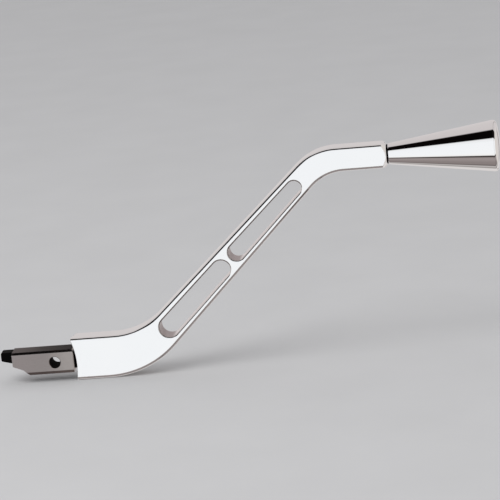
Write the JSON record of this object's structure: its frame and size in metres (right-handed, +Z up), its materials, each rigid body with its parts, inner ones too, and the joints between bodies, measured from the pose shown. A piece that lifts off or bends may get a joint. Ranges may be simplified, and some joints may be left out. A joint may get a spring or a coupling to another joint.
{
  "type": "column shift lever",
  "caption": "Slotted, S-bent billet gear-shift lever with a steel pivot tang, a nylon gate tip and a tapered screw-on knob.",
  "frame": {"origin": "centre of the pivot bore, on the middle plane of the tang", "axes": "+X from the pivot towards the knob, along the tang and the knob's axis; +Y along the pivot bore, away from the unbroken front face; +Z up, the way the arm rises"},
  "size_m": [0.2894, 0.0282, 0.1289],
  "materials": {
    "polished_aluminium": "hand polished to a near mirror",
    "mirror_aluminium": "turned and polished to a mirror",
    "satin_steel": "satin, fine brush marks along the bar",
    "black_nylon": "moulded, low sheen",
    "pin_steel": "ground",
    "black_oxide_steel": "black oxide",
    "zinc_plated_steel": "bright zinc"
  },
  "bodies": {
    "lever": {"lever_arm": "polished_aluminium", "pivot_tang": "satin_steel", "gate_tip": "black_nylon", "gate_tip_pin": "pin_steel", "tang_dowels": "pin_steel", "tang_set_screw": "black_oxide_steel", "knob_stud": "zinc_plated_steel"},
    "washer": {"seating_washer": "black_nylon"},
    "knob": {"knob": "mirror_aluminium"}
  },
  "joints": [
    {"name": "knob_travel", "type": "slide", "parent": "lever", "child": "washer", "axis": [1, 0, 0], "range_m": [0, 0.01694]},
    {"name": "knob_turn", "type": "hinge", "parent": "washer", "child": "knob", "pos_m": [0.1971, 0, 0.1035], "axis": [1, 0, 0], "range_deg": [0, 4320]}
  ],
  "couplings": [
    {"joint": "knob_travel", "follows": "knob_turn", "m_per_rad": 0.00022459}
  ]
}
